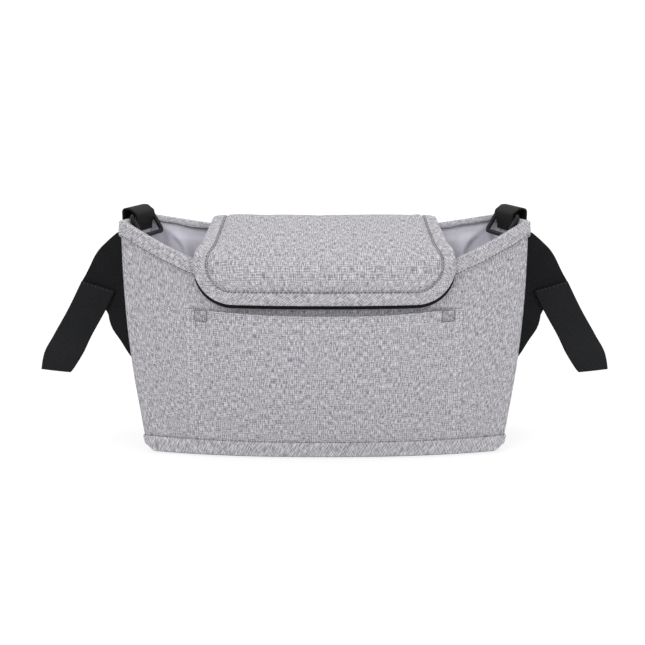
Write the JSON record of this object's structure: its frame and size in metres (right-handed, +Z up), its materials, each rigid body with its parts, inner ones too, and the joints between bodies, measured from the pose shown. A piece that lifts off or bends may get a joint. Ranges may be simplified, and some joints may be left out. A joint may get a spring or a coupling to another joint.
{
  "type": "stroller organizer",
  "caption": "Soft heather-grey caddy with a padded centre flap, open drink pockets, a front pocket, black side wings with strap tails and swinging end rings.",
  "frame": {"origin": "on the underside of the base, centred between the sides, 32 mm in front of the flat back", "axes": "+X to the right seen from the front, +Y towards the flat back, +Z up"},
  "size_m": [0.5522, 0.1189, 0.2155],
  "materials": {
    "melange_cloth": "heather-grey woven polyester, matte",
    "bias_tape": "heather-grey woven bias tape",
    "lining_cloth": "smooth pale lilac-grey woven lining",
    "webbing": "black woven webbing",
    "hook_tape": "black fastening tape",
    "ring_plastic": "black satin moulded plastic",
    "board": "plain stiffener sheet"
  },
  "bodies": {
    "bag": {"back_panel": "melange_cloth", "base_board": "board", "base_panel": "melange_cloth", "bottom_binding": "bias_tape", "flap_binding": "bias_tape", "flap_panel": "melange_cloth", "front_panel": "melange_cloth", "left_bartack": "bias_tape", "left_divider": "lining_cloth", "left_gusset": "melange_cloth", "left_ring_tab": "webbing", "left_strap": "hook_tape", "left_wing": "webbing", "lining": "lining_cloth", "mouth_binding": "bias_tape", "pocket_panel": "melange_cloth", "right_bartack": "bias_tape", "right_divider": "lining_cloth", "right_gusset": "melange_cloth", "right_ring_tab": "webbing", "right_strap": "hook_tape", "right_wing": "webbing"},
    "left_ring": {"left_ring": "ring_plastic"},
    "right_ring": {"right_ring": "ring_plastic"}
  },
  "joints": [
    {"name": "left_ring_swing", "type": "hinge", "parent": "bag", "child": "left_ring", "pos_m": [-0.167, 0.00321, 0.211], "axis": [-0.2759, -0.9612, 0], "range_deg": [-8, 140]},
    {"name": "right_ring_swing", "type": "hinge", "parent": "bag", "child": "right_ring", "pos_m": [0.167, 0.00321, 0.211], "axis": [-0.2759, 0.9612, 0], "range_deg": [-8, 140]}
  ]
}
